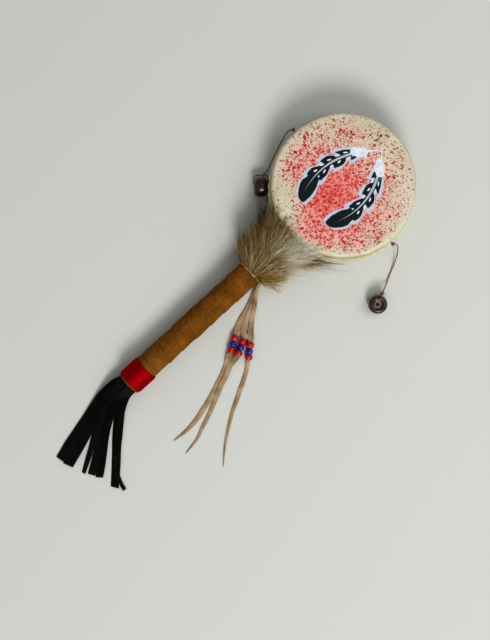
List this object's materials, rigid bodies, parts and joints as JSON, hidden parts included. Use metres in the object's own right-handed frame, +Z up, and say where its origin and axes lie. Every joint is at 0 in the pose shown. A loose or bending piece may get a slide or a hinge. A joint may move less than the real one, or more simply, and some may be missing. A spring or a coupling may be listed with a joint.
{
  "type": "two-sided twist drum",
  "caption": "Small two-headed hide drum on a suede-wrapped stick handle, with corded wooden beaters, a fur collar, beaded thongs and a leather fringe.",
  "frame": {"origin": "middle of the lower head's flat underside, on the surface that the drum lies on", "axes": "+X from the handle through the drum, along the handle; +Z up, out of the upper, painted head; +Y to the left of the handle"},
  "size_m": [0.3217, 0.1419, 0.0326],
  "materials": {
    "rawhide": "satin",
    "painted_rawhide": "satin",
    "suede": "matte",
    "floss": "satin",
    "black_leather": "satin",
    "fur": "matte",
    "thong_hide": "matte",
    "red_glass": "gloss",
    "blue_glass": "gloss",
    "dark_wood": "gloss",
    "waxed_cord": "satin"
  },
  "bodies": {
    "root": {"lower_head": "rawhide", "upper_head": "painted_rawhide", "handle": "suede", "red_binding": "floss", "leather_fringe": "black_leather", "fur_collar": "fur", "thong_left": "thong_hide", "thong_middle": "thong_hide", "thong_right": "thong_hide", "thong_left_bead_1": "red_glass", "thong_left_bead_2": "blue_glass", "thong_left_bead_3": "red_glass", "thong_middle_bead_1": "red_glass", "thong_middle_bead_2": "blue_glass", "thong_middle_bead_3": "red_glass", "thong_right_bead_1": "red_glass", "thong_right_bead_2": "blue_glass", "thong_right_bead_3": "red_glass", "beater_left": "dark_wood", "beater_right": "dark_wood", "cord_left": "waxed_cord", "cord_right": "waxed_cord", "bead_loop_left": "waxed_cord", "bead_loop_right": "waxed_cord", "bead_knot_left": "waxed_cord", "bead_knot_right": "waxed_cord", "seam_knot_left": "waxed_cord", "seam_knot_right": "waxed_cord"}
  },
  "joints": []
}
